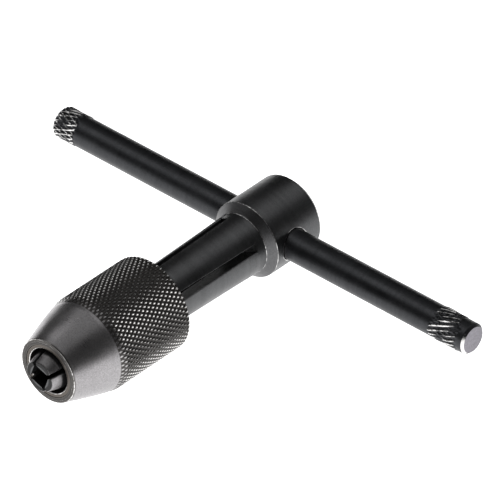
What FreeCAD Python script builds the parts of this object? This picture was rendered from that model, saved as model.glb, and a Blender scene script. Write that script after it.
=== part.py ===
"""Tap wrench with a sliding T-bar: a cross-slit shank whose four spring jaws are closed by a chuck.

The tool lies on a bench.  +X runs along the T-bar, +Y from the jaw tips to the head, +Z up.
The origin is at the bottom centre of the tool.  Every turned piece is drawn about its own
Y axis, with Y = 0 at the plane of the jaw tips, and is then put in its place.
The jaws are drawn closed, as they are ground, and are placed opened by the rest opening.
"""
import FreeCAD, Part
import math
import os

import Sketcher

DRIVING_SIZES = {
    "jaw_protrusion": 2.3,          # tips in front of the chuck's nose face
    "chuck_length": 28.7,
    "cone_length": 11.4,            # nose cone of the chuck, in front of its knurl
    "chuck_diameter": 19.9,         # over the crests of the knurl
    "nose_diameter": 13.4,
    "nose_bore": 9.4,
    "nose_chamfer": 0.3,
    "chuck_rear_chamfer": 0.8,
    "chuck_rear_bore": 12.4,
    "liner_nose_diameter": 11.1,    # the liner's front rim, seen in the nose face
    "liner_rear_diameter": 14.4,
    "liner_thread_bore": 13.0,
    "liner_length": 21.0,
    "liner_cone_start": 2.94,       # from the nose face to the mouth of the inner cone
    "liner_cylinder": 1.7,          # straight rim of the liner before its outer cone
    "liner_clearance": 0.02,
    "shank_length": 25.2,           # bare shank between chuck and head
    "shank_front_diameter": 11.24,  # where the shank leaves the chuck, jaws closed
    "shank_root_diameter": 12.6,
    "head_diameter": 16.0,
    "head_length": 14.2,
    "head_cone_length": 1.4,        # cone from the shank up to the head
    "head_back_chamfer": 0.8,
    "bar_from_back": 7.9,           # bar axis in front of the head's back face
    "slot_width": 1.6,
    "slot_to_head": 2.2,            # solid shank left between the slots and the head
    "slot_angle": 25.8,             # first slot, from +X towards +Z
    "root_step": 0.4,               # the jaw roots reach this far past the end of the head piece
    "jaw_tip_diameter": 5.6,
    "jaw_taper": 15.0,
    "jaw_slit": 0.1,                # slit between the closed jaws at their tips
    "slit_length": 10.0,            # the narrow slit, before the slots widen
    "thread_diameter": 11.1,
    "thread_end": 24.0,             # from the jaw tips
    "square_closed": 2.8,           # across the flats of the socket, jaws closed
    "socket_depth": 8.0,
    "bore_diameter": 4.0,
    "bore_depth": 43.0,
    "jaw_rest_opening": 0.495,      # how far each tip stands out from its closed place at rest
    "root_radius": 4.0,             # rounded jaw root, about its flexing axis
    "root_offset": 5.0,             # flexing axis from the shank's axis
    "root_clearance": 0.03,
    "bar_diameter": 6.35,
    "bar_length": 105.0,
    "bar_clearance": 0.1,           # radial, in the head's hole
    "bar_knurl_rise": 0.225,        # crests of the knurl above the plain bar
    "bar_knurl_length": 5.5,
    "bar_plain_end": 3.0,           # bare end outside the knurl at +X
    "bar_chamfer": 0.5,
    "detent_bore": 2.6,
    "detent_clearance": 0.1,        # radial, ball and spring in their bore
    "detent_gap": 0.02,             # axial, between the pieces of the detent
    "ball_diameter": 2.4,
    "plug_thickness": 0.9,
    "wire_diameter": 0.3,
    "spring_turns": 2.5,
}
JAW_COUNT = 4
FAR = 40.0  # how far a cut reaches past the pieces it trims


class Size:
    """A number of the sheet, or one worked out from several, and the expression that binds it."""

    def __init__(self, text, value):
        self.text, self.value = text, value

    def _joined(self, sign, other):
        if not isinstance(other, Size):
            other = Size(repr(other), other)
        value = {"+": lambda a, b: a + b, "-": lambda a, b: a - b,
                 "*": lambda a, b: a * b, "/": lambda a, b: a / b}[sign](self.value, other.value)
        return Size(f"({self.text} {sign} {other.text})", value)

    def __add__(self, other):
        return self._joined("+", other)

    def __sub__(self, other):
        return self._joined("-", other)

    def __mul__(self, other):
        return self._joined("*", other)

    def __truediv__(self, other):
        return self._joined("/", other)

    def __neg__(self):
        return self * -1.0


def tangent(angle):
    return Size(f"tan({angle.text})", math.tan(math.radians(angle.value)))


def other_leg(longest, leg):
    """The third side of a right-angled triangle, from its longest side and another."""
    square = longest * longest - leg * leg
    return Size(f"sqrt({square.text})", math.sqrt(square.value))


doc = FreeCAD.newDocument("tap_wrench")
sheet = doc.addObject("Spreadsheet::Sheet", "Sizes")
for row, (alias, number) in enumerate(DRIVING_SIZES.items(), start=1):
    sheet.set(f"A{row}", alias)
    sheet.set(f"B{row}", str(number))
    sheet.setAlias(f"B{row}", alias)
doc.recompute()
size = {alias: Size(f"Sizes.{alias}", float(sheet.get(alias))) for alias in DRIVING_SIZES}

# stations along the axis, from the plane of the jaw tips
NOSE = size["jaw_protrusion"]
KNURL_START = NOSE + size["cone_length"]
CHUCK_REAR = NOSE + size["chuck_length"]
HEAD_FRONT = CHUCK_REAR + size["shank_length"]
SLOT_END = HEAD_FRONT - size["slot_to_head"]
ROOT_AXIS = SLOT_END - size["root_radius"]
HEAD_BACK = HEAD_FRONT + size["head_length"]
BAR_AXIS = HEAD_BACK - size["bar_from_back"]
LINER_REAR = NOSE + size["liner_length"]
AXIS_HEIGHT = size["chuck_diameter"] / 2
TAPER = tangent(size["jaw_taper"])
JAW_ANGLE = size["slot_angle"] + 45.0  # middle of the first jaw, from +X towards +Z


def tool_place(angle=0.0):
    """Where a piece drawn on the tool's axis goes, turned about that axis from +X towards +Z."""
    base = FreeCAD.Vector(0, -HEAD_BACK.value / 2, AXIS_HEIGHT.value)
    return FreeCAD.Placement(base, FreeCAD.Rotation(FreeCAD.Vector(0, -1, 0), angle))


def new_body(label):
    body = doc.addObject("PartDesign::Body", label)
    body.Label = label
    return body


def new_sketch(body, plane, name):
    """An empty sketch on one of the body's own origin planes."""
    sketch = body.newObject("Sketcher::SketchObject", name)
    support = next(f for f in body.Origin.OriginFeatures if f.Role == plane)
    sketch.AttachmentSupport = (support, [""])
    sketch.MapMode = "FlatFace"
    return sketch


def hold_point(sketch, geometry, end, x, y):
    """Fix a point of the sketch at x, y from the origin, each a Size or 0."""
    for kind, axis, distance in (("DistanceX", -2, x), ("DistanceY", -1, y)):
        if isinstance(distance, Size):
            index = sketch.addConstraint(
                Sketcher.Constraint(kind, -1, 1, geometry, end, distance.value))
            sketch.setExpression(f"Constraints[{index}]", distance.text)
        else:
            sketch.addConstraint(Sketcher.Constraint("PointOnObject", geometry, end, axis))


def number(distance):
    return distance.value if isinstance(distance, Size) else float(distance)


def draw_polygon(sketch, points):
    """A closed outline through the points, every corner bound to the sheet."""
    corners = [FreeCAD.Vector(number(x), number(y), 0) for x, y in points]
    count = len(corners)
    for i in range(count):
        sketch.addGeometry(Part.LineSegment(corners[i], corners[(i + 1) % count]))
    for i in range(count):
        sketch.addConstraint(Sketcher.Constraint("Coincident", i, 2, (i + 1) % count, 1))
    for i, (x, y) in enumerate(points):
        hold_point(sketch, i, 1, x, y)


def turn(body, points, axis="V_Axis"):
    """A turned solid: the outline on the XY plane, revolved about one axis of its sketch."""
    sketch = new_sketch(body, "XY_Plane", body.Label + "_profile")
    draw_polygon(sketch, points)
    revolution = body.newObject("PartDesign::Revolution", body.Label + "_turning")
    revolution.Profile = sketch
    revolution.ReferenceAxis = (sketch, [axis])
    revolution.Angle = 360.0
    return revolution


def cut(body, sketch, name, both_ways=True):
    """A cut along the sketch's normal: right through both ways, or to the +Y side only."""
    doc.recompute()
    before = body.Shape.Volume
    pocket = body.newObject("PartDesign::Pocket", name)
    pocket.Profile = sketch
    if both_ways:
        pocket.Type = "Length"
        pocket.Length = 2 * FAR
        pocket.Midplane = True
    else:
        pocket.Type = "ThroughAll"
    doc.recompute()
    if not pocket.Shape.Volume < before:
        raise RuntimeError(f"{name} cuts nothing")
    return pocket


def build_head_piece():
    """The shank's solid root and the head, with the bar's hole and the detent's bore."""
    body = new_body("head_and_shank")
    front = SLOT_END - size["root_step"]
    head = size["head_diameter"] / 2
    root = size["shank_root_diameter"] / 2
    detent = size["detent_bore"] / 2
    turn(body, [
        (0, front), (root, front), (root, HEAD_FRONT),
        (head, HEAD_FRONT + size["head_cone_length"]),
        (head, HEAD_BACK - size["head_back_chamfer"]),
        (head - size["head_back_chamfer"], HEAD_BACK),
        (detent, HEAD_BACK), (detent, BAR_AXIS), (0, BAR_AXIS)])

    hole = new_sketch(body, "YZ_Plane", "bar_hole_circle")
    hole.AttachmentOffset = FreeCAD.Placement(
        FreeCAD.Vector(), FreeCAD.Rotation(FreeCAD.Vector(1, 0, 0), JAW_ANGLE.value))
    hole.setExpression("AttachmentOffset.Rotation.Angle", JAW_ANGLE.text)
    radius = size["bar_diameter"] / 2 + size["bar_clearance"]
    hole.addGeometry(Part.Circle(FreeCAD.Vector(BAR_AXIS.value, 0, 0),
                                 FreeCAD.Vector(0, 0, 1), radius.value))
    hold_point(hole, 0, 3, BAR_AXIS, 0)
    index = hole.addConstraint(Sketcher.Constraint("Radius", 0, radius.value))
    hole.setExpression(f"Constraints[{index}]", radius.text)
    cut(body, hole, "bar_hole")

    # the cross slot's closed end: a slot along each diagonal between the jaws
    skew = size["slot_width"] / (2 * math.sqrt(2))
    reach = size["head_diameter"]
    for side in (1.0, -1.0):
        slot = new_sketch(body, "XZ_Plane", f"slot_outline_{'ab'[side < 0]}")
        draw_polygon(slot, [
            ((reach + skew) * side, reach - skew), ((reach - skew) * side, reach + skew),
            ((reach + skew) * -side, skew - reach), ((reach - skew) * -side, -reach - skew)])
        pocket = body.newObject("PartDesign::Pocket", f"slot_{'ab'[side < 0]}")
        pocket.Profile = slot
        pocket.Type = "Length"
        pocket.Length = SLOT_END.value
        pocket.setExpression("Length", SLOT_END.text)

    # a hollow seat for each jaw's rounded root
    seat = new_sketch(body, "XY_Plane", "jaw_seat_circle")
    radius = size["root_radius"] + size["root_clearance"]
    seat.addGeometry(Part.Circle(FreeCAD.Vector(size["root_offset"].value, ROOT_AXIS.value, 0),
                                 FreeCAD.Vector(0, 0, 1), radius.value))
    hold_point(seat, 0, 3, size["root_offset"], ROOT_AXIS)
    index = seat.addConstraint(Sketcher.Constraint("Radius", 0, radius.value))
    seat.setExpression(f"Constraints[{index}]", radius.text)
    jaw_seat = cut(body, seat, "jaw_seat")
    seats = body.newObject("PartDesign::PolarPattern", "jaw_seats")
    seats.Originals = [jaw_seat]
    axis = next(f for f in body.Origin.OriginFeatures if f.Role == "Y_Axis")
    seats.Axis = (axis, [""])
    seats.Angle = 360.0
    seats.Occurrences = JAW_COUNT
    body.Tip = seats
    body.Placement = tool_place(JAW_ANGLE.value)
    return body


def build_jaw(index):
    """One spring jaw: a quarter of the slit shank, from its tip to its rounded root."""
    body = new_body(f"jaw_{index + 1}")
    tip = size["jaw_tip_diameter"] / 2
    thread = size["thread_diameter"] / 2
    thread_start = (thread - tip) / TAPER
    bore = size["bore_diameter"] / 2
    shank = size["shank_front_diameter"] / 2
    root = size["shank_root_diameter"] / 2
    turn(body, [
        (0, 0), (tip, 0), (thread, thread_start), (thread, size["thread_end"]),
        (shank, size["thread_end"]), (shank, CHUCK_REAR), (root, SLOT_END),
        (0, SLOT_END), (0, size["bore_depth"]), (bore, size["bore_depth"]),
        (bore, size["socket_depth"]), (0, size["socket_depth"])])

    flat = new_sketch(body, "XY_Plane", "socket_flat_outline")
    half_square = size["square_closed"] / 2
    below = -size["socket_depth"]
    draw_polygon(flat, [(half_square, below), (half_square, size["socket_depth"]),
                        (-size["chuck_diameter"], size["socket_depth"]),
                        (-size["chuck_diameter"], below)])
    cut(body, flat, "socket_flat")

    # trim to a quarter: narrow slit at the tips, wider slots behind
    reach = size["chuck_diameter"]
    for name, gap, start in (("slit", size["jaw_slit"], None),
                             ("slots", size["slot_width"], size["slit_length"])):
        outline = new_sketch(body, "XZ_Plane", name + "_outline")
        if start:
            outline.AttachmentOffset = FreeCAD.Placement(
                FreeCAD.Vector(0, 0, -start.value), FreeCAD.Rotation())
            outline.setExpression("AttachmentOffset.Base.z", (-start).text)
        corner = gap / math.sqrt(2)
        draw_polygon(outline, [(corner, 0), (corner + reach, reach), (-reach, reach),
                               (-reach, -reach), (corner + reach, -reach)])
        cut(body, outline, name, both_ways=False)

    # round the root about its flexing axis
    rounding = new_sketch(body, "XY_Plane", "root_outline")
    offset, radius = size["root_offset"], size["root_radius"]
    centre = FreeCAD.Vector(offset.value, ROOT_AXIS.value, 0)
    circle = Part.Circle(centre, FreeCAD.Vector(0, 0, 1), radius.value)
    rounding.addGeometry(Part.ArcOfCircle(circle, 0, math.pi))
    far = size["chuck_diameter"]
    path = [(offset - radius, ROOT_AXIS), (-far, ROOT_AXIS), (-far, HEAD_BACK),
            (far, HEAD_BACK), (far, ROOT_AXIS), (offset + radius, ROOT_AXIS)]
    vectors = [FreeCAD.Vector(x.value, y.value, 0) for x, y in path]
    for start, end in zip(vectors, vectors[1:]):
        rounding.addGeometry(Part.LineSegment(start, end))
    last = len(path) - 1
    rounding.addConstraint(Sketcher.Constraint("Coincident", 0, 2, 1, 1))
    rounding.addConstraint(Sketcher.Constraint("Coincident", last, 2, 0, 1))
    for i in range(1, last):
        rounding.addConstraint(Sketcher.Constraint("Coincident", i, 2, i + 1, 1))
    for i in range(1, last):
        hold_point(rounding, i, 2, *path[i])
    hold_point(rounding, 0, 3, offset, ROOT_AXIS)
    radius_index = rounding.addConstraint(Sketcher.Constraint("Radius", 0, radius.value))
    rounding.setExpression(f"Constraints[{radius_index}]", radius.text)
    rounding.addConstraint(Sketcher.Constraint("Horizontal", 1))
    rounding.addConstraint(Sketcher.Constraint("Horizontal", last))
    cut(body, rounding, "root_rounding")

    flexing_axis = FreeCAD.Placement(centre, FreeCAD.Rotation())
    rest_angle = math.degrees(math.atan2(size["jaw_rest_opening"].value, ROOT_AXIS.value))
    opened = FreeCAD.Placement(
        FreeCAD.Vector(), FreeCAD.Rotation(FreeCAD.Vector(0, 0, 1), rest_angle))
    turned = tool_place(JAW_ANGLE.value + index * 360.0 / JAW_COUNT)
    body.Placement = turned * flexing_axis * opened * flexing_axis.inverse()
    return body


def build_chuck_sleeve():
    """The knurled nut with its nose cone.  The knurl is a plain band of its crest diameter."""
    body = new_body("chuck_sleeve")
    nose = size["nose_diameter"] / 2
    knurl = size["chuck_diameter"] / 2
    clear = size["liner_clearance"]
    rim = size["liner_nose_diameter"] / 2 + clear
    seat = size["liner_rear_diameter"] / 2 + clear
    rear_bore = size["chuck_rear_bore"] / 2
    cone_start = NOSE + size["liner_cylinder"]
    cone_end = cone_start + (seat - rim) / TAPER
    turn(body, [
        (rim, NOSE), (nose - size["nose_chamfer"], NOSE), (nose, NOSE + size["nose_chamfer"]),
        (knurl, KNURL_START), (knurl, CHUCK_REAR - size["chuck_rear_chamfer"]),
        (knurl - size["chuck_rear_chamfer"], CHUCK_REAR), (rear_bore, CHUCK_REAR),
        (rear_bore, LINER_REAR + clear), (seat, LINER_REAR + clear),
        (seat, cone_end), (rim, cone_start)])
    body.Placement = tool_place()
    return body


def build_chuck_liner():
    """The hard liner: its inner cone closes the jaws, its bore carries the thread."""
    body = new_body("chuck_liner")
    mouth = size["nose_bore"] / 2
    rim = size["liner_nose_diameter"] / 2
    seat = size["liner_rear_diameter"] / 2
    thread = size["liner_thread_bore"] / 2
    inner_start = NOSE + size["liner_cone_start"]
    outer_start = NOSE + size["liner_cylinder"] + size["liner_clearance"]
    turn(body, [
        (mouth, NOSE), (rim, NOSE), (rim, outer_start),
        (seat, outer_start + (seat - rim) / TAPER), (seat, LINER_REAR), (thread, LINER_REAR),
        (thread, inner_start + (thread - mouth) / TAPER), (mouth, inner_start)])
    body.Placement = tool_place()
    return body


def build_bar():
    """The sliding T-bar, turned about X, with a raised knurl near each end as a stop."""
    body = new_body("t_bar")
    half = size["bar_length"] / 2
    plain = size["bar_diameter"] / 2
    rise = size["bar_knurl_rise"]
    knurl = plain + rise
    chamfer = size["bar_chamfer"]
    band = size["bar_knurl_length"]
    right = half - size["bar_plain_end"]
    turn(body, [
        (-half, 0), (-half, plain - chamfer), (-half + chamfer, plain),
        (-half + chamfer + rise, knurl), (-half + band - rise, knurl), (-half + band, plain),
        (right - band, plain), (right - band + rise, knurl), (right - rise, knurl),
        (right, plain), (half - chamfer, plain), (half, plain - chamfer), (half, 0)],
        axis="H_Axis")
    body.Placement = FreeCAD.Placement(
        FreeCAD.Vector(0, BAR_AXIS.value - HEAD_BACK.value / 2, AXIS_HEIGHT.value),
        FreeCAD.Rotation())
    return body


def on_axis(station):
    """A placement on the tool's axis at a station, with the piece's own Z pointing to the head."""
    local = FreeCAD.Placement(FreeCAD.Vector(0, station.value, 0),
                              FreeCAD.Rotation(FreeCAD.Vector(1, 0, 0), -90))
    return tool_place() * local


def build_detent():
    """Ball, spring and plug in the bore behind the bar: they hold the bar by friction."""
    ball_radius = size["ball_diameter"] / 2
    ball_station = BAR_AXIS + size["bar_diameter"] / 2 + size["detent_gap"] + ball_radius
    ball = doc.addObject("Part::Sphere", "detent_ball")
    ball.Label = "detent_ball"
    ball.setExpression("Radius", ball_radius.text)
    ball.Placement = on_axis(ball_station)

    plug = doc.addObject("Part::Cylinder", "detent_plug")
    plug.Label = "detent_plug"
    plug.setExpression("Radius", (size["detent_bore"] / 2).text)
    plug.setExpression("Height", size["plug_thickness"].text)
    plug_station = HEAD_BACK - size["plug_thickness"]
    plug.Placement = on_axis(plug_station)

    wire = size["wire_diameter"] / 2
    coil_radius = size["detent_bore"] / 2 - size["detent_clearance"] - wire
    start = ball_station + other_leg(ball_radius + wire, coil_radius) + size["detent_gap"]
    rise = plug_station - size["detent_gap"] - wire - start
    helix = doc.addObject("Part::Helix", "spring_line")
    helix.setExpression("Radius", coil_radius.text)
    helix.setExpression("Height", rise.text)
    helix.setExpression("Pitch", (rise / size["spring_turns"]).text)
    helix.SegmentLength = 0.25  # a face for each quarter turn of the wire
    section = doc.addObject("Part::Circle", "spring_wire")
    section.setExpression("Radius", wire.text)
    section.Placement = FreeCAD.Placement(
        FreeCAD.Vector(coil_radius.value, 0, 0), FreeCAD.Rotation(FreeCAD.Vector(1, 0, 0), 90))
    spring = doc.addObject("Part::Sweep", "detent_spring")
    spring.Label = "detent_spring"
    spring.Sections = [section]
    quarters = math.ceil(size["spring_turns"].value / 0.25)
    spring.Spine = (helix, [f"Edge{number}" for number in range(1, quarters + 1)])
    spring.Solid = True
    spring.Frenet = True
    spring.Placement = on_axis(start)
    return [ball, spring, plug]


pieces = [build_head_piece()]
pieces += [build_jaw(index) for index in range(JAW_COUNT)]
pieces += [build_chuck_sleeve(), build_chuck_liner(), build_bar()]
pieces += build_detent()
doc.recompute()

for item in doc.Objects:
    if {"Invalid", "Error"} & set(item.State):
        raise RuntimeError(f"{item.Label} failed: {item.State}")
for piece in pieces:
    shape = piece.Shape
    if shape.isNull() or not shape.isValid() or len(shape.Solids) != 1:
        raise RuntimeError(f"{piece.Label} is not one valid solid")

os.makedirs("parts", exist_ok=True)
for piece in pieces:
    piece.Shape.exportStep(os.path.join("parts", piece.Label + ".step"))
    box = piece.Shape.BoundBox
    print(f"{piece.Label}: {piece.Shape.Volume:.2f} mm3,"
          f" {box.XLength:.2f} x {box.YLength:.2f} x {box.ZLength:.2f}")
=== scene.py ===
"""T-handle tap wrench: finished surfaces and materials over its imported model.

Laid out as a Blender add-on.  Stations are lengths along the shank, from the plane of the jaw
tips towards the head.  Sizes are in metres.
"""

import bmesh
import bpy
import numpy as np
from mathutils import Matrix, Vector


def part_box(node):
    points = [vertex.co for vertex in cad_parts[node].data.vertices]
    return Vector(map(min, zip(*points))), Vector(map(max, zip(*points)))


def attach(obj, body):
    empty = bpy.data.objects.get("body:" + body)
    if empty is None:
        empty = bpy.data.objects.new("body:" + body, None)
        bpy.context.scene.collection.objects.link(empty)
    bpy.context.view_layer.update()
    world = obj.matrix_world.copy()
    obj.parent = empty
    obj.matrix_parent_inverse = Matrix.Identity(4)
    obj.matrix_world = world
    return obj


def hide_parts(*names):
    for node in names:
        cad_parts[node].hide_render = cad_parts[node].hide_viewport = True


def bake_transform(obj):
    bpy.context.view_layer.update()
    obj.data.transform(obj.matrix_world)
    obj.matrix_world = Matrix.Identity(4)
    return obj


bl_info = {
    "name": "Tap wrench",
    "version": (1, 0, 0),
    "blender": (4, 5, 0),
    "location": "3D View > Sidebar > Tap wrench",
    "description": "Finished pieces of a T-handle tap wrench, over its packed model",
    "category": "Add Mesh",
}

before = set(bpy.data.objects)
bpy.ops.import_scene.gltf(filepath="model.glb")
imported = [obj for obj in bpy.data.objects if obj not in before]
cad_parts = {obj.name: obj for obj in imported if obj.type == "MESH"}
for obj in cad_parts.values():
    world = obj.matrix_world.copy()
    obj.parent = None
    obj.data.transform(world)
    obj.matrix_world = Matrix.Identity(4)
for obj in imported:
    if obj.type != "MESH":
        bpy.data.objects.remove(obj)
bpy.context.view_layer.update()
MM = 0.001

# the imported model's own lengths, which the finished pieces keep
SLEEVE_LOW, SLEEVE_HIGH = (np.array(corner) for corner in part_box("chuck_sleeve"))
LINER_HIGH = np.array(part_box("chuck_liner")[1])
HEAD_LOW, HEAD_HIGH = (np.array(corner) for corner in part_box("head_and_shank"))
BAR_LOW, BAR_HIGH = (np.array(corner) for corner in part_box("t_bar"))
TOOL_LENGTH = 70.4 * MM
TIPS = float(HEAD_HIGH[1]) - TOOL_LENGTH
AXIS_HEIGHT = float(SLEEVE_LOW[2] + SLEEVE_HIGH[2]) / 2
BAR_ALONG = float(BAR_LOW[1] + BAR_HIGH[1]) / 2
BAR_STATION = BAR_ALONG - TIPS
NOSE = float(SLEEVE_LOW[1]) - TIPS
CHUCK_REAR = float(SLEEVE_HIGH[1]) - TIPS
LINER_REAR = float(LINER_HIGH[1]) - TIPS
HEAD_BACK = float(HEAD_HIGH[1]) - TIPS
ROOT_STEP = 0.4 * MM
SLOT_END = float(HEAD_LOW[1]) - TIPS + ROOT_STEP

# a jaw bends over this length of its root; its hinge lies in the middle, out from the axis
FLEX_LENGTH = 8.0 * MM
FLEX_STATION = SLOT_END - FLEX_LENGTH / 2
FLEX_OFFSET = 5.0 * MM
JAW_COUNT = 4

# points of a jaw's outline, in order: outer arc, slot face, inside, slot face
ARC_POINTS = 15
FACE_STEPS = np.array([0.0, 0.03, 0.35, 0.7])
INSIDE_POINTS = 7

# points of a rounded corner, and of one of the chuck's diamonds each way
CORNER_POINTS = 5
KNURL_FINENESS = 8

# what nested surfaces keep clear of each other, and the slack when stations are compared
GAP = 0.01 * MM


def length_property(name, description, default):
    return bpy.props.FloatProperty(
        name=name, description=description, default=default, min=0.0, unit="LENGTH", precision=5)


def angle_property(name, description, degrees):
    return bpy.props.FloatProperty(
        name=name, description=description, default=np.radians(degrees), unit="ROTATION")


def colour_property(name, description, default):
    return bpy.props.FloatVectorProperty(
        name=name, description=description, default=default, size=3, min=0.0, max=1.0,
        subtype="COLOR")


class TapWrenchChuckSizes(bpy.types.PropertyGroup):
    outer: length_property("Knurl diameter", "Diameter over the knurl's crests",
                           float(SLEEVE_HIGH[2] - SLEEVE_LOW[2]))
    nose: length_property("Nose diameter", "Outside diameter of the nose face", 13.4 * MM)
    cone: length_property("Cone length", "From the nose face to the knurl", 11.4 * MM)
    swell: length_property("Cone swell", "How far the cone bulges from a straight one", 0.12 * MM)
    rear_bore: length_property("Rear bore", "Diameter of the bore at the back", 12.4 * MM)
    rear_round: length_property("Rear rounding", "Radius of the chuck's rear edge", 0.8 * MM)
    knurl_count: bpy.props.IntProperty(
        name="Diamonds around", description="Diamonds of the knurl around the chuck",
        default=63, min=12)
    knurl_pitch: length_property("Knurl pitch", "Length of one diamond along the axis", 1.56 * MM)
    knurl_depth: length_property("Knurl depth", "Depth of the grooves", 0.3 * MM)
    knurl_flat: bpy.props.FloatProperty(
        name="Knurl flat", description="Share of a diamond's slope below its flat top",
        default=0.95, min=0.1, max=1.0, subtype="FACTOR")
    rim: length_property("Liner rim", "Diameter of the liner's front rim", 11.1 * MM)
    seat: length_property("Liner body", "Diameter of the liner's body", 14.4 * MM)
    mouth: length_property("Mouth", "Diameter of the opening for the jaws", 9.4 * MM)
    thread_bore: length_property("Thread bore", "Diameter of the liner's threaded bore", 13.0 * MM)


class TapWrenchShankSizes(bpy.types.PropertyGroup):
    tip: length_property("Tip diameter", "Across the closed jaw tips", 5.54 * MM)
    thread: length_property("Thread diameter", "Outside of the jaws' thread", 11.1 * MM)
    thread_end: length_property("Thread end", "Station where the bare shank begins", 24.0 * MM)
    front: length_property("Shank front", "Shank diameter where it leaves the chuck", 11.24 * MM)
    root: length_property("Shank root", "Shank diameter at the head", 12.6 * MM)
    taper: angle_property("Jaw taper", "Slope of the jaw tips", 15.0)
    slit: length_property("Slit", "Gap between closed tips", 0.1 * MM)
    slit_length: length_property("Slit length", "Station where the slots widen", 10.0 * MM)
    slot: length_property("Slot", "Width of the four slots", 1.6 * MM)
    slot_angle: angle_property("Slot angle", "First slot, from +X towards +Z", 25.8)
    square: length_property("Square", "Across the flats of the closed socket", 2.8 * MM)
    socket_depth: length_property("Socket depth", "Depth of the square socket", 8.0 * MM)
    bore: length_property("Bore", "Bore behind the socket", 4.0 * MM)
    bore_depth: length_property("Bore depth", "Station of the bore's end", 43.0 * MM)
    opening: length_property("Rest opening", "How far each tip stands open at rest", 0.495 * MM)
    break_edge: length_property("Broken edge", "Chamfer along the slots", 0.16 * MM)
    head_front: length_property("Head front", "Station where the head begins", 56.2 * MM)
    head_cone: length_property("Head cone", "Cone from the shank up to the head", 1.4 * MM)
    head_chamfer: length_property("Head chamfer", "Chamfer at the head's back", 0.8 * MM)
    bar_hole: length_property("Bar hole", "Diameter of the hole for the bar", 6.55 * MM)
    plug_bore: length_property("Plug bore", "Diameter of the detent's bore", 2.6 * MM)


class TapWrenchBarSizes(bpy.types.PropertyGroup):
    diameter: length_property("Bar diameter", "Plain bar", 6.35 * MM)
    crest: length_property("Knurl crest", "Diameter over the raised knurl",
                           float(BAR_HIGH[2] - BAR_LOW[2]))
    band: length_property("Knurl band", "Length of each knurled band", 5.5 * MM)
    plain_end: length_property("Plain end", "Bare length outside the band at +X", 3.0 * MM)
    chamfer: length_property("End chamfer", "Chamfer of the bar's ends", 0.5 * MM)
    knurl_count: bpy.props.IntProperty(
        name="Ridges around", description="Ridges of each slanting set around the bar",
        default=20, min=6)
    knurl_pitch: length_property("Knurl pitch", "From one ridge to the next, along the bar",
                                 2.6 * MM)
    lean: angle_property("Knurl lean", "Side on which the +X band runs nearer the end", -100.0)


class TapWrenchFinish(bpy.types.PropertyGroup):
    oxide: colour_property("Black oxide", "Shank, head and jaws", (0.083, 0.084, 0.086))
    chuck: colour_property("Chuck oxide", "Knurl and nose face", (0.070, 0.066, 0.063))
    cone: colour_property("Ground cone", "Chuck cone and jaw tips", (0.292, 0.283, 0.289))
    bar: colour_property("Blued bar", "The sliding bar", (0.042, 0.043, 0.046))
    liner: colour_property("Hard liner", "Nose ring inside the sleeve", (0.062, 0.055, 0.049))
    # worn steel on edges and crests; also the colour of the painted highlight on the bar's end
    worn_and_highlight: colour_property("Worn steel", "Edges and crests rubbed bright", (0.78, 0.77, 0.76))
    ground: colour_property("Ground steel", "Bare end face of the bar", (0.200, 0.192, 0.212))


class TapWrenchStudio(bpy.types.PropertyGroup):
    floor: colour_property("Floor", "Colour of the floor", (0.86, 0.86, 0.86))
    glow: bpy.props.FloatProperty(
        name="Floor glow", description="Light given off by the floor", default=1.5, min=0.0)
    key: bpy.props.FloatProperty(
        name="Key light", description="Power of the large soft light overhead", default=1.0,
        min=0.0, unit="POWER")
    back: bpy.props.FloatProperty(
        name="Back light", description="Power of the soft light beyond the head", default=0.8,
        min=0.0, unit="POWER")
    side: bpy.props.FloatProperty(
        name="Side light", description="Power of the soft light on the left", default=1.45,
        min=0.0, unit="POWER")
    sky: bpy.props.FloatProperty(
        name="Sky", description="Strength of the even light from all around", default=0.05, min=0.0)
    lens: bpy.props.FloatProperty(
        name="Lens", description="Focal length", default=581.0, min=1.0, unit="CAMERA")
    distance: length_property("Distance", "From the camera to its target", 1.536)


# ---------------------------------------------------------------- surfaces

def on_shank(station, radius, angle):
    """x = r cos a, y = tips + station, z = axis + r sin a, with a measured from +X towards +Z."""
    station, radius, angle = np.broadcast_arrays(station, radius, angle)
    return np.stack([radius * np.cos(angle), TIPS + station,
                     AXIS_HEIGHT + radius * np.sin(angle)], axis=-1)


def on_bar(station, radius, angle):
    """x = station, y = bar + r sin a, z = axis + r cos a, with the same sense as on_shank."""
    station, radius, angle = np.broadcast_arrays(station, radius, angle)
    return np.stack([station, BAR_ALONG + radius * np.sin(angle),
                     AXIS_HEIGHT + radius * np.cos(angle)], axis=-1)


def smoothstep(value):
    """3 t^2 - 2 t^3, with t held between 0 and 1."""
    held = np.clip(value, 0.0, 1.0)
    return held * held * (3.0 - 2.0 * held)


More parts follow.
